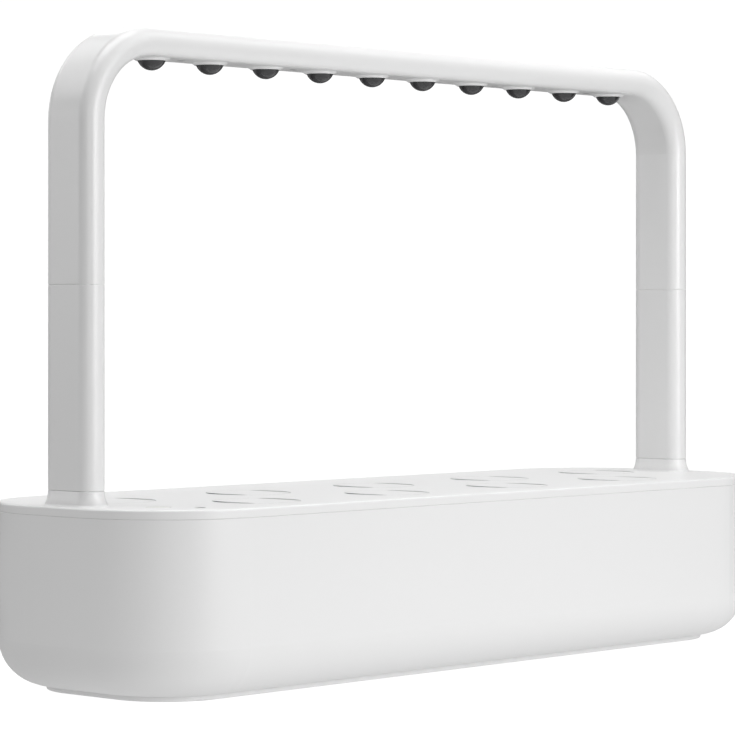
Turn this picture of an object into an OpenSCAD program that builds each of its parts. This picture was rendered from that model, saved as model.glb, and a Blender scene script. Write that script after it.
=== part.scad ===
// Countertop hydroponic garden: a water tank with a lid that holds nine plant pods in two
// staggered rows, and a lamp arch that plugs into the lid through two extension arms.
// X runs along the length, Y from front to back, Z up. The origin is on the ground, under the middle.

/* [Tank] */
// Length of the tank and of the lid
length = 600; // [580:1:640]
// Width of the tank and of the lid, front to back
width = 186; // [178:1:200]
// Height of the parting line between tank and lid, above the ground
tank_h = 108.5; // [100:0.5:120]
// Radius of the upright corners, seen from above
corner_r = 70; // [64:1:78]
// Radius of the rounding between the walls and the underside
base_round = 29; // [20:1:32]
// Thickness of the tank's wall and floor
tank_wall = 2.6; // [2:0.1:4]
// Distance from the wall in to the foot ring
foot_inset = 29; // [24:0.5:34]
// Height of the foot ring below the rounding
foot_h = 3.2; // [2.4:0.2:6]
// Thickness of the foot ring
foot_rib = 3; // [2:0.5:6]
// Radius of the foot ring's lower outer edge
foot_edge = 1; // [0.5:0.1:1.5]

/* [Rubber feet] */
// Radius of each pad
pad_r = 8; // [5:0.5:9]
// Thickness of each pad
pad_t = 2.5; // [1.5:0.1:3]
// How far the pads stand out below the foot ring
pad_drop = 0.5; // [0.3:0.1:1]
// Distance from the end of the tank to the middle of the end pads
pad_inset = 75; // [60:1:90]
// Distance from the front or back of the tank to the middle of the pads
pad_side = 51; // [48:1:56]
// Thickness of the wall round each pad
pad_wall = 2.3; // [1.5:0.1:3]

/* [Lid] */
// Height of the lid's side band
lid_band = 5.5; // [4.5:0.5:9]
// Thickness of the lid's top
lid_skin = 3; // [2.6:0.1:4]
// Radius of the lid's upper edge
lid_edge = 1.2; // [0.6:0.1:2]
// Thickness of the skirt that locates the lid inside the tank
skirt_t = 2; // [1.5:0.1:3]
// How far the skirt reaches down into the tank
skirt_drop = 4; // [2:0.5:8]

/* [Pod places] */
// Number of pods in the back row; the front row has one fewer
back_count = 5; // [3:1:5]
// Distance from the end of the tank to the middle of the end pods
pod_inset = 66; // [62:1:72]
// Distance between the two rows
row_gap = 65; // [60:1:68]
// How far the two rows together stand forward of the tank's middle
row_forward = 11.3; // [8:0.1:13]
// Diameter of each pod opening
pod_hole_d = 53.6; // [52:0.2:55]
// Thickness of the wall that hangs round each opening
well_wall = 2; // [1.5:0.1:3]
// How far that wall reaches down below the lid's top
well_depth = 10; // [8:0.5:16]
// How far in the two ledges stand that carry a pod
ledge_w = 3.5; // [2.5:0.1:4]
// Thickness of the ledges
ledge_t = 2; // [1.5:0.1:3]
// Length of each ledge
ledge_len = 28; // [20:1:34]

/* [Pod] */
// Widest point of each finger gap beside a pod
finger_gap = 6.9; // [5.5:0.1:7]
// How far a pod's drawn in side bows outwards
side_sag = 0.75; // [0.4:0.05:1.5]
// Thickness of the cup's flange
flange_t = 1.6; // [1.2:0.1:2.4]
// Thickness of the cover
cover_t = 1.6; // [1.2:0.1:2.4]
// Outer diameter of the cup under its flange
cup_top_d = 38.8; // [36:0.2:39.5]
// Outer diameter of the cup's lower end
cup_end_d = 31; // [26:0.5:36]
// Height of the cup below its flange
cup_h = 56; // [45:1:64]
// Thickness of the cup's wall and floor
cup_wall = 1.4; // [1:0.1:2]
// Number of root slots round the cup
slot_count = 6; // [4:1:8]
// Width of each root slot
slot_w = 3; // [2:0.5:4]
// Height of each root slot
slot_h = 16; // [8:1:24]
// Height of the root slots above the cup's floor
slot_lift = 4; // [2:0.5:8]
// Radius of the wick under the growing plug
wick_r = 3.5; // [2.5:0.1:4]
// Height of the wick's lower end above the tank's floor
wick_lift = 14; // [8:0.5:18]

/* [Water level float] */
// Distance from the end of the tank to the middle of the float
float_inset = 40; // [38:0.5:43]
// Distance from the front of the tank to the middle of the float
float_side = 46; // [44:0.5:50]
// Diameter of the indicator disc
disc_d = 14; // [11:0.5:15]
// Thickness of the indicator disc
disc_t = 2; // [1.5:0.1:2.5]
// Diameter of the float's stem
stem_d = 5.2; // [4:0.1:6]
// Radius of the float
bulb_r = 12; // [9:0.5:13]
// Height of the float
bulb_h = 30; // [20:1:34]
// Height of the float's underside above the tank's floor, in an empty tank
bulb_lift = 16; // [10:0.5:20]
// How far the float rises when the tank is full
float_rise = 25; // [15:1:30]
// Thickness of the tube that guides the stem
guide_wall = 2.4; // [1.5:0.1:4]
// Height of the collar that stops the float under the guide
collar_h = 2; // [1.5:0.1:3]
// How far that collar stands out from the stem
collar_w = 2; // [1.5:0.1:2.4]
// Thickness of the foam left under the stem
bulb_floor = 4; // [3:0.5:8]

/* [Vent hole] */
// Distance from the end of the tank to the vent hole
vent_inset = 53.5; // [50:0.5:60]
// Distance from the front of the tank to the vent hole
vent_side = 25; // [21:0.5:29]
// Diameter of the vent hole
vent_d = 6.8; // [5.8:0.1:7.4]

/* [Arms] */
// Thickness of the arms and of the arch
arm_t = 18; // [17:0.2:20]
// Width of the arms and of the arch, front to back
arm_d = 40; // [38:0.5:42]
// Radius of the long edges
arm_edge = 8.6; // [7:0.1:8.8]
// Wall thickness of the arms and of the arch
arm_wall = 2.4; // [1.8:0.1:2.8]
// Distance from the end of the tank to the middle of the arm
arm_inset = 18; // [17:0.5:24]
// Height of the arm boss above the lid
boss_h = 9; // [8.5:0.5:16]
// Radius of the hollow arc in which the boss flares towards the lid
boss_flare_r = 18; // [17:0.5:24]
// Radius of the fillet at the boss's foot
boss_fillet = 2; // [1.5:0.1:3]
// Depth of the fine groove along the arms' seams
seam_groove = 0.35; // [0.2:0.05:0.6]
// Length of an extension arm between its two seams
extension_len = 121; // [60:1:160]
// Length of the spigots
spigot_len = 14; // [11:0.5:14]
// Wall thickness of the spigots
spigot_wall = 2; // [1.5:0.1:2.5]
// Thickness of the floor that closes each arm above its spigot
arm_floor = 3; // [2:0.5:5]

/* [Lamp arch] */
// Height of the top of the arch above the ground
arch_h = 398.5; // [360:0.5:440]
// Outer radius of the arch's two bends
bend_r = 58; // [50:1:59]
// Width of the panel under the bar
panel_w = 30; // [28:0.5:32]
// Thickness of the panel
panel_t = 2.4; // [2:0.1:2.6]
// Distance from each end of the panel to the start of the bend
panel_end = 0.5; // [0.5:0.5:6]
// Radius of the posts that the panel is screwed to
post_r = 3.2; // [2.8:0.1:3.6]

/* [Light] */
// Number of lenses
lens_count = 10; // [6:2:10]
// Distance from the middle of the arm to the middle of the end lens
lens_inset = 61; // [60:0.5:66]
// Diameter of a lens
lens_d = 17; // [15:0.2:18]
// Height of a lens's dome below its rim
dome_h = 5.8; // [4:0.1:6.5]
// Height of the sloping rim round each lens
rim_h = 1.4; // [0.8:0.1:2]
// Width of that rim's upper end
rim_w = 2.7; // [2.4:0.1:3.4]
// Width of that rim's lower end
rim_edge = 0.6; // [0.4:0.1:1]
// How far the lens flange reaches past the lens
lens_lip = 1.8; // [1:0.1:2]
// Thickness of the lens flange
lens_flange = 1.2; // [1:0.1:1.6]
// Side of a light emitting diode
led_side = 3.5; // [2.5:0.1:4]
// Height of a light emitting diode
led_h = 1.1; // [0.6:0.1:1.1]
// Room between a diode and the hollow of its lens
led_room = 0.3; // [0.2:0.05:0.5]
// Width of the circuit board behind the lenses
board_w = 24; // [22:0.5:25]
// Thickness of the circuit boards
board_t = 1.6; // [1.2:0.2:1.8]
// Width of the heat sink
sink_w = 21; // [18:0.5:22]
// Thickness of the heat sink's plate
sink_t = 2; // [1.5:0.1:2.4]
// Height of the heat sink's fins
fin_h = 3; // [2:0.1:3.4]
// Number of fins
fin_count = 4; // [2:1:5]
// Thickness of a fin
fin_t = 1.2; // [1:0.1:1.6]

/* [Timer board and inlet] */
// Width of the timer board
timer_w = 21; // [16:0.5:22]
// Distance from the last post to the timer board
timer_gap = 2; // [1:0.5:4]
// Height of the parts on the timer board
chip_h = 2; // [1:0.1:2.5]
// Size of the block that holds the lead's cores
plug_block = [7, 10, 4.6];
// How far that block reaches over the board's end
plug_over = 4; // [3:0.5:5]
// Length of the lead between that block and the bend
lead_run = 3; // [2:0.5:6]
// Height of the inlet's middle above the lamp's seam
inlet_lift = 18; // [14:0.5:40]
// Diameter of the inlet's nose
inlet_d = 7.8; // [7.4:0.1:8]
// Diameter of the inlet's bore
inlet_bore_d = 5.6; // [5.4:0.1:5.8]
// Depth of the inlet's bore
inlet_depth = 9; // [8:0.5:10]
// Diameter of the pin inside the inlet
inlet_pin_d = 2.1; // [1.9:0.1:2.5]
// Width of the inlet's body
inlet_w = 9; // [8.4:0.1:9.2]
// Height of the inlet's body
inlet_h = 10; // [9:0.5:12]
// Length of the inlet's body, front to back
inlet_len = 13; // [12:0.5:15]
// Distance from the inlet's body to the back face of the arm
inlet_set = 4.6; // [4:0.1:5]
// How far the inlet's nose stays inside the arm's back face
nose_set = 0.8; // [0.4:0.1:1.2]
// Diameter of the lead
lead_d = 3.6; // [3:0.1:4]
// Place of the lead along the width
lead_y = 8; // [7:0.5:9]

/* [Screws] */
// Diameter of a screw's shank
screw_d = 2.5; // [2:0.1:3]
// Diameter of a screw's head
head_d = 4.8; // [4:0.1:5.4]
// Height of a screw's head
head_h = 1.2; // [1:0.1:1.4]
// Length of a screw's shank
screw_len = 9; // [7:0.5:10]
// Width of the slot in a screw's head
drive_w = 0.8; // [0.6:0.1:1]

/* [Clearances] */
// Gap between the lid's skirt and the tank
lid_gap = 0.3; // [0.2:0.05:0.5]
// Depth of the fine groove between lid and tank
lid_groove = 0.25; // [0.15:0.05:0.5]
// Gap round a pod in its opening
pod_gap = 0.3; // [0.2:0.05:0.5]
// Gap round a spigot in its socket
spigot_gap = 0.3; // [0.2:0.05:0.4]
// Gap between a spigot's end and the floor of its socket
spigot_end_gap = 1; // [0.5:0.1:2]
// Gap round the panel and the lenses
panel_gap = 0.3; // [0.2:0.05:0.4]
// Gap round parts that sit inside others
seat_gap = 0.3; // [0.2:0.05:0.4]
// Gap round the float's stem and disc
float_gap = 0.4; // [0.3:0.05:0.6]
// Gap round the screws' shanks
screw_gap = 0.05; // [0.03:0.01:0.1]

/* [Hidden] */
$fn = 96;
over = 1; // how far a cut runs past the face it opens

// Heights
ring_z = pad_drop;
shell_z = ring_z + foot_h;
floor_z = shell_z + tank_wall;
lid_z = tank_h + lid_band;
skin_z = lid_z - lid_skin;
lid_mid_z = lid_z - lid_skin / 2;
boss_z = lid_z + boss_h;
lamp_z = boss_z + extension_len;

// Pod heights, from the lid down
cover_z = lid_z - cover_t;
flange_z = cover_z - flange_t;
ledge_z = flange_z - ledge_t;
well_z = lid_z - well_depth;
cup_z = flange_z - cup_h;
cup_floor_z = cup_z + cup_wall;
cover_ring_h = 1.5;
cover_ring_t = 1.2;
plug_top_z = cover_z - cover_ring_h - seat_gap;

// Pod outline: a circle whose two sides are drawn in by wide arcs
pod_hole_r = pod_hole_d / 2;
pod_r = pod_hole_r - pod_gap;
side_x = pod_hole_r - finger_gap;
side_half = sqrt(pod_hole_r * pod_hole_r - (side_x - side_sag) * (side_x - side_sag));
side_r = (side_half * side_half + side_sag * side_sag) / (2 * side_sag);
cup_mouth_r = cup_top_d / 2 - cup_wall;
cup_floor_r = cup_end_d / 2 - cup_wall;

// Feet, float and vent hole
pad_x = length / 2 - pad_inset;
pad_y = width / 2 - pad_side;
float_x = float_inset - length / 2;
float_y = float_side - width / 2;
vent_x = vent_inset - length / 2;
vent_y = vent_side - width / 2;
disc_z = lid_z - disc_t;
bulb_z = floor_z + bulb_lift;
bulb_top_z = bulb_z + bulb_h;
collar_z = bulb_top_z + collar_h;
guide_z = collar_z + float_rise;
stem_sink = bulb_h - bulb_floor;
collar_r = stem_d / 2 + collar_w;
guide_r = stem_d / 2 + float_gap + guide_wall;
disc_seat_r = disc_d / 2 + float_gap;

// Arms and arch
arm_x = length / 2 - arm_inset;
socket_z = boss_z - spigot_len - spigot_end_gap;
socket_floor = 2;
bar_z = arch_h - arm_t / 2;
under_z = arch_h - arm_t;
bend_mid = bend_r - arm_t / 2;
bend_x = arm_x - bend_mid;
bend_z = bar_z - bend_mid;
void_t = arm_t - 2 * arm_wall;
void_d = arm_d - 2 * arm_wall;
void_edge = arm_edge - arm_wall;

// The boss's foot: a hollow arc from the seam down, which a small fillet turns into the lid
flare_at = [arm_edge + boss_flare_r, boss_z];
fillet_drop = boss_h - boss_fillet;
fillet_out = sqrt(pow(boss_flare_r - boss_fillet, 2) - fillet_drop * fillet_drop);
fillet_at = [flare_at.x - fillet_out, lid_z + boss_fillet];
fillet_top = boss_z - boss_flare_r * fillet_drop / (boss_flare_r - boss_fillet);

// Light
panel_len = 2 * (bend_x - panel_end);
panel_top_z = under_z + panel_t;
board_z = panel_top_z + lens_flange;
sink_z = board_z + board_t;
fin_z = sink_z + sink_t;
timer_z = fin_z + fin_h;
lens_r = lens_d / 2;
lens_ball_r = (lens_r * lens_r + dome_h * dome_h) / (2 * dome_h);
rim_z = under_z - rim_h;
lens_pitch = 2 * (arm_x - lens_inset) / (lens_count - 1);
lens_x = [for (i = [0 : lens_count - 1]) (i - (lens_count - 1) / 2) * lens_pitch];
post_x = [for (s = [-1, 1], i = [2, 4]) if (i < lens_count / 2) s * i * lens_pitch];
board_len = 2 * (lens_x[lens_count - 1] + lens_r + lens_lip);
post_hole_r = post_r + seat_gap;

// Timer board, inlet and lead
timer_x = max(post_x) + post_r + timer_gap;
lead_end_x = bend_x - lead_run;
plug_x = lead_end_x - plug_block.x;
timer_end_x = plug_x + plug_over;
timer_len = timer_end_x - timer_x;
sink_len = 2 * (plug_x - timer_gap);
inlet_z = lamp_z + inlet_lift;
inlet_back_y = arm_d / 2 - inlet_set;
nose_y = arm_d / 2 - nose_set;

// The pods' places: the back row first, then the front row
pod_pitch = (length - 2 * pod_inset) / (back_count - 1);
back_y = row_gap / 2 - row_forward;
front_y = -row_gap / 2 - row_forward;
back_row = [for (i = [0 : back_count - 1]) [(i - (back_count - 1) / 2) * pod_pitch, back_y]];
front_row = [for (i = [0 : back_count - 2]) [(i - (back_count - 2) / 2) * pod_pitch, front_y]];
pod_at = concat(back_row, front_row);

// Colours
shell_white = [0.93, 0.93, 0.92];
cup_white = [0.88, 0.88, 0.86];
soil_brown = [0.23, 0.16, 0.11];
lens_grey = [0.16, 0.17, 0.18];

POD_NODES = [for (i = [1 : len(pod_at)], kind = ["pod_cup_", "growing_plug_", "pod_cover_"]) str(kind, i)];

// ---- Shapes that several pieces share ----

// Sweeps a profile round a rounded rectangle. The profile's x is the distance from the
// corner's upright axis, and its y is the height.
module around(len, wid, r) {
    mid_x = len / 2 - r;
    mid_y = wid / 2 - r;
    for (half = [0, 180])
        rotate(half) {
            translate([mid_x, mid_y, 0])
                rotate_extrude(angle = 90)
                    children();
            translate([-mid_x, mid_y, 0])
                rotate(90)
                    rotate_extrude(angle = 90)
                        children();
            translate([-mid_x, mid_y, 0])
                rotate([90, 0, 90])
                    linear_extrude(2 * mid_x)
                        children();
            translate([mid_x, mid_y, 0])
                rotate([90, 0, 0])
                    linear_extrude(2 * mid_y)
                        children();
        }
}

// Fills the middle of such a sweep between two heights
module middle(len, wid, r, low, high) {
    translate([-(len / 2 - r), -(wid / 2 - r), low])
        cube([len - 2 * r, wid - 2 * r, high - low]);
}

// Cutter for a fine groove at the height z, in a profile whose outer face is r from the axis
module groove_profile(r, z, depth) {
    polygon([[r - depth, z], [r + over, z - depth - over], [r + over, z + depth + over]]);
}

// Section of an arm: a rectangle t by d with its corners rounded
module arm_section(t, d, edge) {
    square([t - 2 * edge, d], center = true);
    for (s = [-1, 1]) {
        translate([s * (t - edge) / 2, 0])
            square([edge, d - 2 * edge], center = true);
        for (v = [-1, 1])
            translate([s * (t / 2 - edge), v * (d / 2 - edge)])
                intersection() {
                    circle(edge);
                    translate([s > 0 ? 0 : -edge, v > 0 ? 0 : -edge])
                        square(edge);
                }
    }
}

// The arch's path swept by such a section, from the height low up one leg and down the other
module bow(t, d, edge, low) {
    for (side = [0, 1])
        mirror([side, 0, 0]) {
            translate([arm_x, 0, low])
                linear_extrude(bend_z - low)
                    arm_section(t, d, edge);
            translate([bend_x, 0, bend_z])
                rotate([90, 0, 0])
                    rotate_extrude(angle = 90)
                        translate([bend_mid, 0])
                            arm_section(t, d, edge);
        }
    translate([-bend_x, 0, bar_z])
        rotate([0, 90, 0])
            linear_extrude(2 * bend_x)
                arm_section(t, d, edge);
}

// Cutter for the groove along an arm's seam
module arm_groove(seam_z) {
    translate([arm_x, 0, 0])
        around(arm_t, arm_d, arm_edge)
            groove_profile(arm_edge, seam_z, seam_groove);
}

// Hollow spigot that hangs below an arm's seam
module spigot(seam_z) {
    out_t = void_t - 2 * spigot_gap;
    out_d = void_d - 2 * spigot_gap;
    out_edge = void_edge - spigot_gap;
    translate([arm_x, 0, seam_z - spigot_len])
        linear_extrude(spigot_len)
            difference() {
                arm_section(out_t, out_d, out_edge);
                arm_section(out_t - 2 * spigot_wall, out_d - 2 * spigot_wall, out_edge - spigot_wall);
            }
}

// Outline of a pod's cover and flange
module pod_outline() {
    intersection() {
        circle(pod_r);
        translate([side_x - side_r, 0])
            circle(side_r, $fn = 360);
        translate([side_r - side_x, 0])
            circle(side_r, $fn = 360);
    }
}

// ---- Water tank ----

// Half section of the tank's outer form, from the corner's axis outwards
module tank_profile(r, round_r, low) {
    translate([0, low + round_r])
        square([r, tank_h - low - round_r]);
    translate([0, low])
        square([r - round_r, round_r]);
    translate([r - round_r, low + round_r])
        intersection() {
            circle(round_r);
            translate([0, -round_r])
                square(round_r);
        }
}

module tank_wall_profile() {
    difference() {
        union() {
            tank_profile(corner_r, base_round, shell_z);
            foot_profile();
        }
        tank_profile(corner_r - tank_wall, base_round - tank_wall, floor_z);
        groove_profile(corner_r, tank_h, lid_groove);
    }
}

module foot_profile() {
    out_r = corner_r - foot_inset;
    translate([out_r - foot_rib, ring_z])
        difference() {
            square([foot_rib, foot_h + tank_wall / 2]);
            translate([foot_rib - foot_edge, -over])
                difference() {
                    square(foot_edge + over);
                    translate([0, foot_edge + over])
                        circle(foot_edge);
                }
        }
}

module each_pad() {
    for (x = [-1, 1], y = [-1, 1])
        translate([x * pad_x, y * pad_y, 0])
            children();
    for (y = [-1, 1])
        translate([0, y * pad_y, 0])
            children();
}

module water_tank() {
    color(shell_white)
        difference() {
            union() {
                around(length, width, corner_r)
                    tank_wall_profile();
                middle(length, width, corner_r, shell_z, floor_z);
                each_pad()
                    translate([0, 0, ring_z])
                        cylinder(r = pad_r + seat_gap + pad_wall, h = foot_h + tank_wall / 2);
            }
            each_pad()
                translate([0, 0, ring_z - over])
                    cylinder(r = pad_r + seat_gap, h = pad_t - pad_drop + over);
        }
}

module rubber_feet() {
    color([0.2, 0.2, 0.2])
        each_pad()
            cylinder(r = pad_r, h = pad_t);
}

// ---- Lid ----

module lid_profile() {
    inner_r = corner_r - tank_wall - lid_gap - skirt_t;
    difference() {
        union() {
            translate([0, skin_z])
                square([corner_r, lid_skin]);
            translate([inner_r, tank_h])
                square([corner_r - inner_r, lid_band - lid_skin / 2]);
            translate([inner_r, tank_h - skirt_drop])
                square([skirt_t, skirt_drop + lid_band / 2]);
        }
        groove_profile(corner_r, tank_h, lid_groove);
        translate([corner_r - lid_edge, lid_z - lid_edge])
            difference() {
                square(lid_edge + over);
                circle(lid_edge);
            }
    }
}

// Half section of a boss: straight at the seam, then flaring to a small fillet on the lid
module boss_profile() {
    difference() {
        translate([0, lid_mid_z])
            square([fillet_at.x, boss_z - lid_mid_z]);
        intersection() {
            translate(flare_at)
                circle(boss_flare_r, $fn = 180);
            translate([0, fillet_top])
                square([flare_at.x, boss_z - fillet_top + over]);
        }
        intersection() {
            translate(fillet_at)
                circle(boss_fillet);
            translate([0, lid_z])
                square([flare_at.x, fillet_top - lid_z]);
        }
        groove_profile(arm_edge, boss_z, seam_groove);
    }
}

// Boss that an arm plugs into, and its socket below the lid
module arm_boss() {
    translate([arm_x, 0, 0]) {
        around(arm_t, arm_d, arm_edge)
            boss_profile();
        middle(arm_t, arm_d, arm_edge, lid_mid_z, boss_z);
        translate([0, 0, socket_z - socket_floor])
            linear_extrude(lid_mid_z - socket_z + socket_floor)
                arm_section(arm_t, arm_d, arm_edge);
    }
}

module pod_ledges() {
    intersection() {
        difference() {
            cylinder(r = pod_hole_r + well_wall / 2, h = ledge_t);
            translate([0, 0, -over])
                cylinder(r = pod_hole_r - ledge_w, h = ledge_t + 2 * over);
        }
        translate([-ledge_len / 2, -pod_hole_d, 0])
            cube([ledge_len, 2 * pod_hole_d, ledge_t]);
    }
}

module lid_blank() {
    around(length, width, corner_r)
        lid_profile();
    middle(length, width, corner_r, skin_z, lid_z);
    for (side = [0, 1])
        mirror([side, 0, 0])
            arm_boss();
    for (at = pod_at)
        translate([at.x, at.y, well_z])
            cylinder(r = pod_hole_r + well_wall, h = lid_mid_z - well_z);
    translate([float_x, float_y, guide_z])
        cylinder(r = guide_r, h = lid_mid_z - guide_z);
    translate([float_x, float_y, disc_z - lid_skin])
        cylinder(r = disc_seat_r + guide_wall, h = lid_mid_z - disc_z + lid_skin);
}

module lid() {
    color(shell_white) {
        difference() {
            lid_blank();
            for (at = pod_at)
                translate([at.x, at.y, well_z - over])
                    cylinder(r = pod_hole_r, h = well_depth + 2 * over);
            for (side = [0, 1])
                mirror([side, 0, 0])
                    translate([arm_x, 0, socket_z])
                        linear_extrude(boss_z - socket_z + over)
                            arm_section(void_t, void_d, void_edge);
            translate([float_x, float_y, guide_z - over])
                cylinder(d = stem_d + 2 * float_gap, h = lid_z - guide_z + 2 * over);
            translate([float_x, float_y, disc_z])
                cylinder(r = disc_seat_r, h = disc_t + over);
            translate([vent_x, vent_y, skin_z - over])
                cylinder(d = vent_d, h = lid_skin + 2 * over);
        }
        for (at = pod_at)
            translate([at.x, at.y, ledge_z])
                pod_ledges();
    }
}

// ---- Float ----

module float_stem() {
    color(cup_white)
        translate([float_x, float_y, 0]) {
            translate([0, 0, disc_z])
                cylinder(d = disc_d, h = disc_t);
            translate([0, 0, bulb_top_z - stem_sink])
                cylinder(d = stem_d, h = disc_z - bulb_top_z + stem_sink);
            translate([0, 0, bulb_top_z])
                cylinder(r = collar_r, h = collar_h);
        }
}

module float_bulb() {
    color([0.9, 0.85, 0.7])
        translate([float_x, float_y, bulb_z])
            difference() {
                cylinder(r = bulb_r, h = bulb_h);
                translate([0, 0, bulb_h - stem_sink])
                    cylinder(r = stem_d / 2 + screw_gap, h = stem_sink + over);
            }
}

// ---- Pods ----

module pod_cup(at) {
    color(cup_white)
        translate([at.x, at.y, 0])
            difference() {
                union() {
                    translate([0, 0, flange_z])
                        linear_extrude(flange_t)
                            pod_outline();
                    translate([0, 0, cup_z])
                        cylinder(d1 = cup_end_d, d2 = cup_top_d, h = cup_h);
                }
                translate([0, 0, cup_floor_z])
                    cylinder(r1 = cup_floor_r, r2 = cup_mouth_r, h = flange_z - cup_floor_z);
                translate([0, 0, flange_z])
                    cylinder(r = cup_mouth_r, h = flange_t + over);
                translate([0, 0, cup_z - over])
                    cylinder(r = wick_r + seat_gap, h = cup_wall + 2 * over);
                for (k = [0 : slot_count - 1])
                    rotate(k * 360 / slot_count)
                        translate([cup_floor_r / 2, -slot_w / 2, cup_floor_z + slot_lift])
                            cube([cup_top_d, slot_w, slot_h]);
            }
}

module growing_plug(at) {
    color(soil_brown)
        translate([at.x, at.y, 0]) {
            translate([0, 0, cup_floor_z])
                cylinder(
                    r1 = cup_floor_r - seat_gap,
                    r2 = cup_mouth_r - seat_gap,
                    h = plug_top_z - cup_floor_z
                );
            translate([0, 0, floor_z + wick_lift])
                cylinder(r = wick_r, h = cup_floor_z - floor_z - wick_lift);
        }
}

module pod_cover(at) {
    color(shell_white)
        translate([at.x, at.y, 0]) {
            translate([0, 0, cover_z])
                linear_extrude(cover_t)
                    pod_outline();
            translate([0, 0, cover_z - cover_ring_h])
                difference() {
                    cylinder(r = cup_mouth_r - seat_gap, h = cover_ring_h);
                    translate([0, 0, -over])
                        cylinder(r = cup_mouth_r - seat_gap - cover_ring_t, h = cover_ring_h + over);
                }
        }
}

// ---- Extension arms ----

module extension_right() {
    color(shell_white) {
        difference() {
            translate([arm_x, 0, boss_z])
                linear_extrude(extension_len)
                    arm_section(arm_t, arm_d, arm_edge);
            arm_groove(boss_z);
            arm_groove(lamp_z);
            translate([arm_x, 0, boss_z + arm_floor])
                linear_extrude(extension_len)
                    arm_section(void_t, void_d, void_edge);
        }
        spigot(boss_z);
    }
}

module extension_left() {
    mirror([1, 0, 0])
        extension_right();
}

// ---- Lamp ----

module lamp_arch() {
    color(shell_white) {
        difference() {
            bow(arm_t, arm_d, arm_edge, lamp_z);
            bow(void_t, void_d, void_edge, lamp_z + arm_floor);
            for (side = [0, 1])
                mirror([side, 0, 0])
                    arm_groove(lamp_z);
            translate([-panel_len / 2 - panel_gap, -panel_w / 2 - panel_gap, under_z - over])
                cube([panel_len + 2 * panel_gap, panel_w + 2 * panel_gap, panel_t + over + void_edge / 2]);
            translate([arm_x, arm_d / 4, inlet_z])
                rotate([-90, 0, 0])
                    cylinder(d = inlet_d + 2 * seat_gap, h = arm_d / 4 + over);
        }
        for (side = [0, 1])
            mirror([side, 0, 0])
                spigot(lamp_z);
        for (x = post_x)
            translate([x, 0, panel_top_z])
                difference() {
                    cylinder(r = post_r, h = arch_h - arm_wall / 2 - panel_top_z);
                    translate([0, 0, -over])
                        cylinder(r = screw_d / 2 + screw_gap, h = screw_len + over);
                }
    }
}

module lamp_undercover() {
    lens_hole_r = lens_r + panel_gap;
    color(shell_white)
        difference() {
            union() {
                translate([-panel_len / 2, 0, bar_z])
                    rotate([0, 90, 0])
                        linear_extrude(panel_len)
                            intersection() {
                                arm_section(arm_t, arm_d, arm_edge);
                                translate([arm_t / 2 - panel_t, -panel_w / 2])
                                    square([panel_t, panel_w]);
                            }
                for (x = lens_x)
                    translate([x, 0, rim_z])
                        cylinder(r1 = lens_hole_r + rim_edge, r2 = lens_hole_r + rim_w, h = rim_h);
            }
            for (x = lens_x)
                translate([x, 0, rim_z - over])
                    cylinder(r = lens_hole_r, h = rim_h + panel_t + 2 * over);
            for (x = post_x)
                translate([x, 0, under_z - over]) {
                    cylinder(r = head_d / 2 + seat_gap, h = head_h + over);
                    cylinder(r = screw_d / 2 + screw_gap, h = panel_t + 2 * over);
                }
        }
}

module undercover_screws() {
    color("silver")
        for (x = post_x)
            translate([x, 0, under_z])
                difference() {
                    union() {
                        cylinder(d = head_d, h = head_h);
                        cylinder(d = screw_d, h = panel_t + screw_len - seat_gap);
                    }
                    translate([-head_d, -drive_w / 2, -over])
                        cube([2 * head_d, drive_w, head_h / 2 + over]);
                }
}

module lens_domes() {
    low_z = rim_z - dome_h;
    color(lens_grey)
        for (x = lens_x)
            translate([x, 0, 0])
                rotate_extrude()
                    difference() {
                        union() {
                            intersection() {
                                translate([0, low_z + lens_ball_r])
                                    circle(lens_ball_r);
                                translate([0, low_z - over])
                                    square([lens_ball_r, dome_h + over]);
                            }
                            translate([0, rim_z])
                                square([lens_r, rim_h + panel_t]);
                            translate([0, panel_top_z])
                                square([lens_r + lens_lip, lens_flange]);
                        }
                        translate([0, board_z - led_h - led_room])
                            square([led_side, led_h + led_room + over]);
                    }
}

module led_emitters() {
    color("gold")
        for (x = lens_x)
            translate([x - led_side / 2, -led_side / 2, board_z - led_h])
                cube([led_side, led_side, led_h]);
}

module led_board() {
    color([0.95, 0.95, 0.93])
        difference() {
            translate([-board_len / 2, -board_w / 2, board_z])
                cube([board_len, board_w, board_t]);
            for (x = post_x)
                translate([x, 0, board_z - over])
                    cylinder(r = post_hole_r, h = board_t + 2 * over);
        }
}

module heat_sink() {
    fin_step = (sink_w - fin_t) / (fin_count - 1);
    color([0.75, 0.75, 0.77])
        difference() {
            union() {
                translate([-sink_len / 2, -sink_w / 2, sink_z])
                    cube([sink_len, sink_w, sink_t]);
                for (k = [0 : fin_count - 1])
                    translate([-sink_len / 2, -sink_w / 2 + k * fin_step, fin_z])
                        cube([sink_len, fin_t, fin_h]);
            }
            for (x = post_x)
                translate([x, 0, sink_z - over])
                    cylinder(r = post_hole_r, h = sink_t + fin_h + 2 * over);
        }
}

module timer_board() {
    color([0.1, 0.35, 0.2]) {
        translate([timer_x, -timer_w / 2, timer_z])
            cube([timer_len, timer_w, board_t]);
        translate([timer_x + timer_len / 6, -timer_w / 4, timer_z + board_t])
            cube([timer_len / 3, timer_w / 3, chip_h]);
        translate([timer_end_x - timer_len / 3, -timer_w / 4, timer_z + board_t])
            cylinder(d = timer_w / 4, h = chip_h);
    }
    color("white")
        translate([plug_x, lead_y - plug_block.y / 2, bar_z - plug_block.z / 2])
            cube([plug_block.x, plug_block.y, timer_z + board_t - bar_z + plug_block.z / 2]);
}

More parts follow.
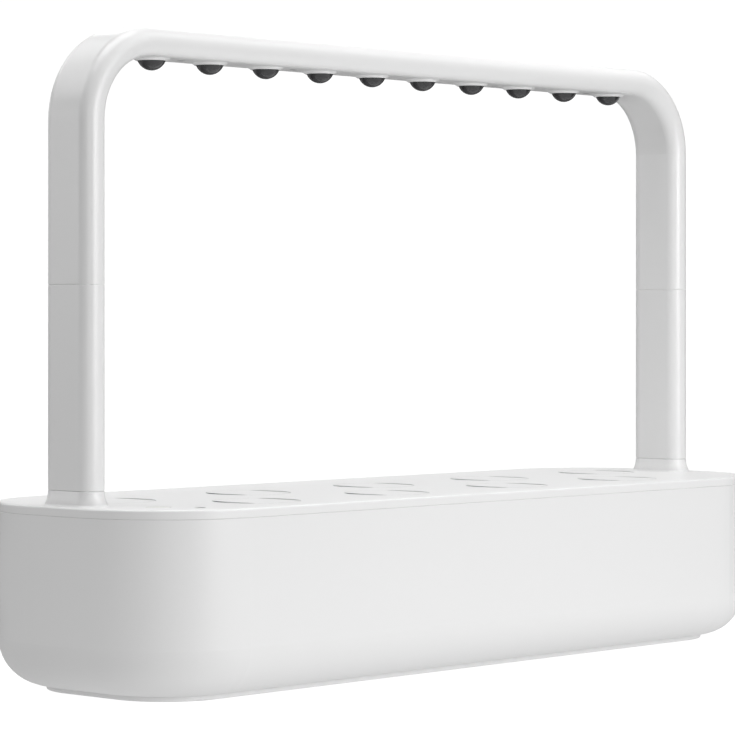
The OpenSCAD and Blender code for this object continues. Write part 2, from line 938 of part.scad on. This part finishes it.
module lamp_lead() {
    color([0.15, 0.15, 0.15]) {
        translate([arm_x, lead_y, inlet_z + inlet_h / 2])
            cylinder(d = lead_d, h = bend_z - inlet_z - inlet_h / 2);
        translate([bend_x, lead_y, bend_z])
            rotate([90, 0, 0])
                rotate_extrude(angle = 90)
                    translate([bend_mid, 0])
                        circle(d = lead_d);
        translate([bend_x, lead_y, bar_z])
            rotate([0, -90, 0])
                cylinder(d = lead_d, h = bend_x - lead_end_x);
    }
}

module dc_inlet() {
    color([0.12, 0.12, 0.12])
        translate([arm_x, 0, inlet_z]) {
            difference() {
                union() {
                    translate([-inlet_w / 2, inlet_back_y - inlet_len, -inlet_h / 2])
                        cube([inlet_w, inlet_len, inlet_h]);
                    translate([0, inlet_back_y - over, 0])
                        rotate([-90, 0, 0])
                            cylinder(d = inlet_d, h = nose_y - inlet_back_y + over);
                }
                translate([0, nose_y - inlet_depth, 0])
                    rotate([-90, 0, 0])
                        cylinder(d = inlet_bore_d, h = inlet_depth + over);
            }
            translate([0, nose_y - inlet_depth - over, 0])
                rotate([-90, 0, 0])
                    cylinder(d = inlet_pin_d, h = inlet_depth - over);
        }
}

water_tank();
rubber_feet();
lid();
float_stem();
float_bulb();
extension_left();
extension_right();
lamp_arch();
lamp_undercover();
undercover_screws();
lens_domes();
led_emitters();
led_board();
heat_sink();
timer_board();
lamp_lead();
dc_inlet();
for (i = [0 : len(pod_at) - 1]) {
    pod_cup(pod_at[i]);
    growing_plug(pod_at[i]);
    pod_cover(pod_at[i]);
}
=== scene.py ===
"""Countertop hydroponic garden: finishes, growing plugs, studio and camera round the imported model."""
import math

import bmesh
import bpy
import numpy as np
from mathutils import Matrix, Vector


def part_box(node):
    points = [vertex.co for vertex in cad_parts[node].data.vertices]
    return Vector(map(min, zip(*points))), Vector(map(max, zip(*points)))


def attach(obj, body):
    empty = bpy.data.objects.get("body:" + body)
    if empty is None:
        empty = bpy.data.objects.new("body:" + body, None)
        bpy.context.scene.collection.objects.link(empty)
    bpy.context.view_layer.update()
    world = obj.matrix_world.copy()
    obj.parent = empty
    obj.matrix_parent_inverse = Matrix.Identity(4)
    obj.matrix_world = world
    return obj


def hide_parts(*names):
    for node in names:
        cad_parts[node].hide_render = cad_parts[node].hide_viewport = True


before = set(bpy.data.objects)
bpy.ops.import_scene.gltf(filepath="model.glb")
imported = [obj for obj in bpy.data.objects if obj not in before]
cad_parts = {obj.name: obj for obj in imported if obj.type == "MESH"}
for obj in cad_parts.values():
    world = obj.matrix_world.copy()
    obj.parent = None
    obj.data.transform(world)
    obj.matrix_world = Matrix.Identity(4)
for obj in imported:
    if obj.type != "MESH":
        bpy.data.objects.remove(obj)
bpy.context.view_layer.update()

MM = 0.001
SHELL_WHITE = "#ECECEC"
PODS = range(1, 10)

# ---- Camera: from the front left corner, level, with a long lens ----

PHOTO_PX = 735
FOCAL_PX = 3201.8
HORIZON_PX = 312.3
SENSOR_MM = 36.0
HEADING_DEG = 47.38
CAMERA_AT = (-1.5519, -1.4014, 0.2277)
CLIP_M = (0.1, 60.0)


def make_camera():
    """Level camera. Its heading turns from +Y towards +X, and the shift puts the horizon on its row."""
    data = bpy.data.cameras.new("camera")
    data.sensor_width = SENSOR_MM
    data.lens = SENSOR_MM * FOCAL_PX / PHOTO_PX
    data.shift_y = (HORIZON_PX - PHOTO_PX / 2) / PHOTO_PX
    data.clip_start, data.clip_end = CLIP_M
    camera = bpy.data.objects.new("camera", data)
    camera.location = CAMERA_AT
    camera.rotation_euler = (math.radians(90), 0, -math.radians(HEADING_DEG))
    bpy.context.scene.collection.objects.link(camera)
    bpy.context.scene.camera = camera


make_camera()

# ---- Materials ----

PAINTED_SHADE_REACH_MM = 9          # reach of the painted shade: walls this near darken a point's colour in a narrow gap
PAINTED_SHADE_SAMPLES = 8
# Painted shade in the gaps: its darkest colour, and the free parts of the sky at which it is full and at
# which it ends.
LID_PAINTED_SHADE = ("#4A4A4A", 0.4, 0.8)
COVER_PAINTED_SHADE = ("#0C0C0C", 0.5, 0.85)


def linear(hex_colour):
    """sRGB hex to linear RGBA: c / 12.92 below 0.04045, else ((c + 0.055) / 1.055) to the power 2.4."""
    srgb = np.array([int(hex_colour[i:i + 2], 16) for i in (1, 3, 5)]) / 255
    rgb = np.where(srgb <= 0.04045, srgb / 12.92, ((srgb + 0.055) / 1.055) ** 2.4)
    return (*rgb.tolist(), 1.0)


def add(tree, kind, values=None, links=None, **settings):
    """Adds one node, sets its properties and sockets, and links its inputs from other nodes' outputs."""
    node = tree.nodes.new(kind)
    for name, value in settings.items():
        setattr(node, name, value)
    for socket, value in (values or {}).items():
        node.inputs[socket].default_value = value
    for socket, source in (links or {}).items():
        tree.links.new(source, node.inputs[socket])
    return node


def new_material(name, base, roughness, ior=1.5, **shader):
    """A material with a Principled shader whose constants sit on its own sockets."""
    material = bpy.data.materials.new(name)
    material.use_nodes = True
    material.diffuse_color = linear(base)
    tree = material.node_tree
    tree.nodes.clear()
    values = {"Base Color": linear(base), "Roughness": roughness, "IOR": ior}
    values.update({key.replace("_", " "): value for key, value in shader.items()})
    principled = add(tree, "ShaderNodeBsdfPrincipled", values)
    add(tree, "ShaderNodeOutputMaterial", links={"Surface": principled.outputs["BSDF"]})
    return material, tree, principled


def pattern_scale(size_mm):
    """Noise scale whose features are about size_mm across, on Object coordinates in metres."""
    return 1.0 / (size_mm * MM)


def noise(tree, size_mm, detail=2.0, rough=0.5, stretch=(1, 1, 1)):
    """Noise on Object coordinates with features of a real size."""
    place = add(tree, "ShaderNodeTexCoord")
    turned = add(tree, "ShaderNodeMapping", {"Scale": stretch}, {"Vector": place.outputs["Object"]})
    return add(
        tree, "ShaderNodeTexNoise",
        {"Scale": pattern_scale(size_mm), "Detail": detail, "Roughness": rough},
        {"Vector": turned.outputs["Vector"]},
    )


def vary_roughness(tree, principled, source, low, high):
    """Roughness that runs from low to high with a pattern."""
    spread = add(tree, "ShaderNodeMapRange", {"To Min": low, "To Max": high}, {"Value": source})
    tree.links.new(spread.outputs["Result"], principled.inputs["Roughness"])


def vary_colour(tree, principled, source, dark, light, low=0.35, high=0.65):
    """Base colour that runs from dark to light with a pattern."""
    ramp = add(tree, "ShaderNodeValToRGB", links={"Fac": source})
    ramp.color_ramp.elements[0].position = low
    ramp.color_ramp.elements[0].color = linear(dark)
    ramp.color_ramp.elements[1].position = high
    ramp.color_ramp.elements[1].color = linear(light)
    tree.links.new(ramp.outputs["Color"], principled.inputs["Base Color"])


def add_relief(tree, principled, source, height_mm, strength=1.0):
    """Bump of a real height."""
    bump = add(
        tree, "ShaderNodeBump", {"Strength": strength, "Distance": height_mm * MM}, {"Height": source}
    )
    tree.links.new(bump.outputs["Normal"], principled.inputs["Normal"])


def paint_shade_in_narrow_gaps(tree, principled, base, dark, full, free):
    """Painted shade: base colour that falls to the dark shade where near walls stand in the light's way, as
    an occlusion node sees them. The free part of the sky above a point is full for the darkest shade, and
    free for none."""
    # painted shade: the occlusion node darkens the colour itself, over the real shading
    sky = add(tree, "ShaderNodeAmbientOcclusion", {"Distance": PAINTED_SHADE_REACH_MM * MM}, samples=PAINTED_SHADE_SAMPLES)
    vary_colour(tree, principled, sky.outputs["AO"], dark, base, full, free)


def satin_abs(name="satin_abs_moulded", gap_painted_shade=None):
    """White ABS from a finely textured mould: an even body, a soft wide highlight, faint clouds in the gloss.
    With a gap painted shade, its colour is darkened with painted shade in the narrow gaps round the pods."""
    material, tree, shader = new_material(name, SHELL_WHITE, 0.3, ior=1.54)
    # painted shade in the gaps round the pods, not a colour of the plastic
    if gap_painted_shade:
        paint_shade_in_narrow_gaps(tree, shader, SHELL_WHITE, *gap_painted_shade)
    clouds = noise(tree, 60, detail=3)
    vary_roughness(tree, shader, clouds.outputs["Fac"], 0.27, 0.34)
    # The spark-eroded grain is about 0.05 mm and too fine to show, so it is drawn at 0.6 mm, very shallow.
    grain = noise(tree, 0.6, detail=2)
    add_relief(tree, shader, grain.outputs["Fac"], 0.004)
    return material


def thin_polypropylene():
    """Thin white polypropylene of cups and stem: slightly waxy, a little light shines through."""
    material, tree, shader = new_material(
        "white_polypropylene_moulded", "#E4E4E0", 0.42, ior=1.49, Subsurface_Weight=0.15,
        Subsurface_Radius=(0.003, 0.003, 0.003), Subsurface_Scale=1.0,
    )
    clouds = noise(tree, 25, detail=2)
    vary_roughness(tree, shader, clouds.outputs["Fac"], 0.38, 0.46)
    return material


def smoked_polycarbonate():
    """Smoked polycarbonate, polished: near black face on, and a bright rim where it mirrors the room."""
    material, tree, shader = new_material("smoked_polycarbonate_polished", "#2A2A2C", 0.08, ior=1.585)
    wipe = noise(tree, 8, detail=3)
    vary_roughness(tree, shader, wipe.outputs["Fac"], 0.06, 0.12)
    return material


def natural_sponge():
    """Pressed peat and coir sponge: dark brown crumbs with paler fibres, quite matt."""
    material, tree, shader = new_material("pressed_peat_sponge", "#4A3524", 0.95, ior=1.4)
    crumbs = noise(tree, 1.8, detail=5, rough=0.65)
    vary_colour(tree, shader, crumbs.outputs["Fac"], "#2E1F14", "#7A5B3B", 0.38, 0.68)
    fibres = noise(tree, 0.7, detail=3, stretch=(1, 1, 0.25))
    add_relief(tree, shader, fibres.outputs["Fac"], 0.5, 0.9)
    return material


def silicone_rubber():
    """Moulded silicone rubber: dark grey, matt, with a dusty bloom."""
    material, tree, shader = new_material("silicone_rubber_moulded", "#3B3B3C", 0.75, ior=1.42)
    bloom = noise(tree, 6, detail=4)
    vary_colour(tree, shader, bloom.outputs["Fac"], "#333334", "#48484A")
    return material


def closed_cell_foam():
    """Cut polyethylene foam: cream, matt, with small closed cells on its skin."""
    material, tree, shader = new_material("polyethylene_foam_cut", "#E6DEC6", 0.9, ior=1.5)
    place = add(tree, "ShaderNodeTexCoord")
    cells = add(
        tree, "ShaderNodeTexVoronoi", {"Scale": pattern_scale(1.2)}, {"Vector": place.outputs["Object"]}
    )
    add_relief(tree, shader, cells.outputs["Distance"], 0.25, 0.7)
    return material


def solder_mask(name, base, light):
    """Solder mask over copper: smooth lacquer with the copper's pattern faintly under it."""
    material, tree, shader = new_material(name, base, 0.28, ior=1.52)
    copper = noise(tree, 3, detail=0)
    vary_colour(tree, shader, copper.outputs["Fac"], base, light, 0.49, 0.51)
    return material


def extruded_aluminium():
    """Extruded aluminium: die lines along the length, grey metal gloss."""
    material, tree, shader = new_material("aluminium_extruded", "#C6C7C9", 0.38, Metallic=1.0)
    lines = noise(tree, 0.8, detail=3, stretch=(0.01, 1, 1))
    vary_roughness(tree, shader, lines.outputs["Fac"], 0.3, 0.5)
    return material


def zinc_plated_steel():
    """Zinc plated steel: cool bright metal with slightly cloudy plating."""
    material, tree, shader = new_material("steel_zinc_plated", "#BFC2C4", 0.3, Metallic=1.0)
    plating = noise(tree, 1.5, detail=3)
    vary_roughness(tree, shader, plating.outputs["Fac"], 0.24, 0.4)
    return material


def phosphor_resin():
    """Phosphor-filled silicone on a white diode: strong yellow, soft surface."""
    material, tree, shader = new_material("phosphor_silicone", "#F2C53A", 0.35, ior=1.42)
    dots = noise(tree, 0.5, detail=2)
    vary_colour(tree, shader, dots.outputs["Fac"], "#E5B42E", "#F8D25A")
    return material


def black_nylon():
    """Glass-filled black nylon: matt, with a faint flow pattern."""
    material, tree, shader = new_material("nylon_glass_filled", "#1B1B1C", 0.55, ior=1.53)
    flow = noise(tree, 2.5, detail=3, stretch=(1, 0.3, 1))
    vary_roughness(tree, shader, flow.outputs["Fac"], 0.48, 0.65)
    return material


def pvc_sheath():
    """Black PVC sheath of the lead: soft gloss."""
    material, tree, shader = new_material("pvc_sheath_extruded", "#202021", 0.45, ior=1.53)
    wipe = noise(tree, 10, detail=2)
    vary_roughness(tree, shader, wipe.outputs["Fac"], 0.4, 0.52)
    return material


def dress(material, *names):
    """Puts one material on CAD nodes."""
    for name in names:
        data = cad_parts[name].data
        data.materials.clear()
        data.materials.append(material)


shell = satin_abs()
# Lid and pod covers: the same white ABS with painted shade in the narrow gaps round the pods
lid_shell_painted_shade = satin_abs("satin_abs_lid_painted_shade", LID_PAINTED_SHADE)
pod_cover_shell_painted_shade = satin_abs("satin_abs_cover_painted_shade", COVER_PAINTED_SHADE)
cup_plastic = thin_polypropylene()
sponge = natural_sponge()

dress(lid_shell_painted_shade, "lid")
dress(shell, "water_tank", "extension_left", "extension_right", "lamp_arch", "lamp_undercover")
dress(pod_cover_shell_painted_shade, *[f"pod_cover_{i}" for i in PODS])
dress(cup_plastic, "float_stem", *[f"pod_cup_{i}" for i in PODS])
dress(smoked_polycarbonate(), "lens_domes")
dress(silicone_rubber(), "rubber_feet")
dress(closed_cell_foam(), "float_bulb")
dress(solder_mask("solder_mask_white", "#E9E9E4", "#F1F1ED"), "led_board")
dress(solder_mask("solder_mask_green", "#0F4A2A", "#1A6138"), "timer_board")
dress(extruded_aluminium(), "heat_sink")
dress(zinc_plated_steel(), "undercover_screws")
dress(phosphor_resin(), "led_emitters")
dress(black_nylon(), "dc_inlet")
dress(pvc_sheath(), "lamp_lead")

# ---- Growing plugs ----

PLUG_GRID = (150, 144)
WICK_R = 3.5 * MM
PLUG_FOOT_R = 13.8 * MM
PLUG_TALL = 54.2 * MM     # from its shoulder, where the wick begins, to its top
PLUG_RIM = 1.2 * MM
CORNER_GAP = 0.1 * MM     # keeps a row of points just below the shoulder
CRUMB_DEPTH = 0.35 * MM
CRUMB_WAVES = 28
CRUMB_TURNS = (3, 30)     # waves round the plug
CRUMB_RATES = (200, 1500)  # radians per metre along the profile
MERGE_GAP = 0.01 * MM


def grid_mesh(name, points, material, body, node):
    """A closed surface from a grid of points, rows by columns by 3. Columns close on themselves, and the
    first and last rows are points that are merged into poles."""
    rows, cols, _ = points.shape
    flat = points.reshape(-1, 3)
    row, col = np.meshgrid(np.arange(rows - 1), np.arange(cols), indexing="ij")
    across = (col + 1) % cols
    quads = np.stack(
        [row * cols + col, row * cols + across, (row + 1) * cols + across, (row + 1) * cols + col], -1
    ).reshape(-1, 4)
    mesh = bpy.data.meshes.new(name)
    mesh.from_pydata(flat.tolist(), [], quads.tolist())
    piece = bpy.data.objects.new(name, mesh)
    bpy.context.scene.collection.objects.link(piece)
    merge_poles(mesh)
    mesh.materials.append(material)
    mesh.shade_smooth()
    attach(piece, body)
    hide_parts(node)


def merge_poles(mesh):
    """Merges the points that lie on each other, such as a pole's."""
    work = bmesh.new()
    work.from_mesh(mesh)
    bmesh.ops.remove_doubles(work, verts=work.verts, dist=MERGE_GAP)
    work.to_mesh(mesh)
    work.free()


def plug_points(low, high, seed):
    """Surface of revolution about the plug's axis: a wick, a shoulder and a tapered plug with rounded rims.
    The radius at angle a and arc length s is the profile's radius plus a fixed sum of small waves in a and s,
    which is the crumbled surface. It only ever cuts inwards."""
    rows, cols = PLUG_GRID
    axis = (low + high) / 2
    top_r = (high[0] - low[0]) / 2
    shoulder_z = high[2] - PLUG_TALL
    profile = np.array([
        [0, low[2]], [WICK_R - PLUG_RIM, low[2]], [WICK_R, low[2] + PLUG_RIM],
        [WICK_R, shoulder_z - CORNER_GAP], [WICK_R, shoulder_z], [PLUG_FOOT_R - PLUG_RIM, shoulder_z],
        [PLUG_FOOT_R, shoulder_z + PLUG_RIM], [top_r, high[2] - PLUG_RIM], [top_r - PLUG_RIM, high[2]],
        [0, high[2]],
    ])
    steps = np.hypot(*np.diff(profile, axis=0).T)
    along = np.concatenate([[0], np.cumsum(steps)])
    s = np.linspace(0, along[-1], rows)
    r = np.interp(s, along, profile[:, 0])
    z = np.interp(s, along, profile[:, 1])
    a = np.linspace(0, 2 * np.pi, cols, endpoint=False)
    rng = np.random.default_rng(seed)
    turns = rng.integers(*CRUMB_TURNS, CRUMB_WAVES)
    rate = rng.uniform(*CRUMB_RATES, CRUMB_WAVES)
    phase = rng.uniform(0, 2 * np.pi, CRUMB_WAVES)
    angle = a[None, :, None] * turns + s[:, None, None] * rate + phase
    crumble = np.sin(angle).sum(-1) / math.sqrt(CRUMB_WAVES)
    depth = CRUMB_DEPTH * np.clip(r / PLUG_FOOT_R, 0, 1)[:, None]
    cut = depth * np.clip(crumble + 1, 0, 3)
    radius = np.maximum(r[:, None] - cut, 0)
    top_cut = np.where(s[:, None] > along[-2], cut, 0)
    x = axis[0] + radius * np.cos(a)
    y = axis[1] + radius * np.sin(a)
    return np.stack([x, y, z[:, None] - top_cut], -1)


for i in PODS:
    low, high = (np.array(corner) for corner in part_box(f"growing_plug_{i}"))
    grid_mesh(
        f"sponge_plug_{i}", plug_points(low, high, i), sponge, f"pod_{i}", f"growing_plug_{i}",
    )

# ---- Studio: soft boxes all round, over a round light table ----

TABLE_R = 1.5
TABLE_RIM_POINTS = 96
SEEN_GLOW = 0.96          # how white the table looks to the eye, before any light falls on it
NEAR_R = 0.6              # the part of the table round the object
BLEND = 0.05              # half the width of the belt where the near glow turns into the far one
NEAR_GLOW = 0.62          # its glow at the middle, and the change along Y per metre
NEAR_SLOPE = -1.03
FAR_GLOW = 0.39           # the same outside it, and the change along X per metre
FAR_SLOPE = -0.26
WORLD_SEEN = 1.05         # the background to the eye
WORLD_LIT = 0.01          # its light on the object
WHITE = "#FFFFFF"
AIM_AT = (0.0, 0.0, 0.15)
FAR_BOX = (2.6, (1.3, 1.3))
LOW_BOX = (2.6, (1.3, 0.7))
NEAR_BOX = (1.15, (0.6, 0.6))
TOP_BOX = (2.85, (2.0, 2.0))
SOFT_BOXES = {
    # name: (turn from the front towards the right and height, both in degrees, distance and sides in m,
    # power in W)
    "front_low": (0, 9, *LOW_BOX, 17.3),
    "back_right_low": (135, 9, *LOW_BOX, 1.7),
    "back_low": (180, 9, *LOW_BOX, 2.8),
    "back_left_low": (225, 9, *LOW_BOX, 5.6),
    "front_left_low": (315, 9, *LOW_BOX, 5.6),
    "front_right": (45, 38, *FAR_BOX, 4.3),
    "back_right": (135, 38, *FAR_BOX, 12.9),
    "back": (180, 38, *FAR_BOX, 8.7),
    "back_left": (225, 38, *FAR_BOX, 11.2),
    "left": (270, 38, *FAR_BOX, 0.8),
    "right_high": (90, 65, *FAR_BOX, 2.7),
    "left_high": (270, 65, *FAR_BOX, 11.6),
    "top": (0, 90, *TOP_BOX, 40.1),
    "front_near_low": (10, 14, *NEAR_BOX, 2.6),
    "front_near": (10, 45, *NEAR_BOX, 1.0),
    "front_right_near": (40, 45, *NEAR_BOX, 1.3),
    "right_near": (90, 45, *NEAR_BOX, 0.8),
}


def make_table():
    """A round light table of opal acrylic at the height of the feet: the points of one circle. Its light on
    the object changes evenly along Y near it and along X further out, while the eye sees it nearly white."""
    material, tree, seen = new_material(
        "opal_acrylic_lit_from_below", "#808080", 0.9, Specular_IOR_Level=0.0,
        Emission_Color=linear(WHITE), Emission_Strength=SEEN_GLOW,
    )
    output = tree.nodes["Material Output"]
    place = add(tree, "ShaderNodeTexCoord")
    reach = add(tree, "ShaderNodeVectorMath", links={0: place.outputs["Object"]}, operation="LENGTH")
    axes = add(tree, "ShaderNodeSeparateXYZ", links={0: place.outputs["Object"]})
    far_part = add(
        tree, "ShaderNodeMapRange", {"From Min": NEAR_R - BLEND, "From Max": NEAR_R + BLEND},
        {"Value": reach.outputs["Value"]},
    )
    near, far = (
        add(tree, "ShaderNodeMath", {1: slope, 2: level}, {0: axes.outputs[axis]}, operation="MULTIPLY_ADD")
        for axis, slope, level in (("Y", NEAR_SLOPE, NEAR_GLOW), ("X", FAR_SLOPE, FAR_GLOW))
    )
    glow = add(
        tree, "ShaderNodeMix",
        links={0: far_part.outputs["Result"], 2: near.outputs["Value"], 3: far.outputs["Value"]},
    )
    lit = add(tree, "ShaderNodeEmission", {"Color": linear(WHITE)}, {"Strength": glow.outputs[0]})
    path = add(tree, "ShaderNodeLightPath")
    mix = add(
        tree, "ShaderNodeMixShader",
        links={0: path.outputs["Is Camera Ray"], 1: lit.outputs[0], 2: seen.outputs[0]},
    )
    tree.links.new(mix.outputs[0], output.inputs["Surface"])
    turn = np.linspace(0, 2 * np.pi, TABLE_RIM_POINTS, endpoint=False)
    rim = np.stack([TABLE_R * np.cos(turn), TABLE_R * np.sin(turn), 0 * turn], -1)
    mesh = bpy.data.meshes.new("light_table")
    mesh.from_pydata(rim.tolist(), [], [tuple(range(len(turn)))])
    mesh.materials.append(material)
    table = bpy.data.objects.new("light_table", mesh)
    bpy.context.scene.collection.objects.link(table)


def make_soft_box(name, turn, height, distance, sides, power):
    """A soft box on a sphere round the object, facing it."""
    turn, height = math.radians(turn), math.radians(height)
    away = Vector((math.cos(height) * math.sin(turn), -math.cos(height) * math.cos(turn), math.sin(height)))
    data = bpy.data.lights.new(name, "AREA")
    data.shape = "RECTANGLE"
    data.size, data.size_y = sides
    data.energy = power
    light = bpy.data.objects.new(name, data)
    light.location = Vector(AIM_AT) + away * distance
    light.rotation_euler = (-away).to_track_quat("-Z", "Y").to_euler()
    bpy.context.scene.collection.objects.link(light)


def make_world():
    """White all round: full white to the eye, and a far weaker even light on the object."""
    world = bpy.data.worlds.new("studio_white")
    bpy.context.scene.world = world
    world.use_nodes = True
    tree = world.node_tree
    tree.nodes.clear()
    path = add(tree, "ShaderNodeLightPath")
    seen = add(tree, "ShaderNodeBackground", {"Color": linear(WHITE), "Strength": WORLD_SEEN})
    lit = add(tree, "ShaderNodeBackground", {"Color": linear(WHITE), "Strength": WORLD_LIT})
    mix = add(
        tree, "ShaderNodeMixShader",
        links={0: path.outputs["Is Camera Ray"], 1: lit.outputs[0], 2: seen.outputs[0]},
    )
    add(tree, "ShaderNodeOutputWorld", links={"Surface": mix.outputs[0]})


make_table()
for box_name, setup in SOFT_BOXES.items():
    make_soft_box(box_name, *setup)
make_world()
bpy.context.scene.view_settings.view_transform = "Standard"
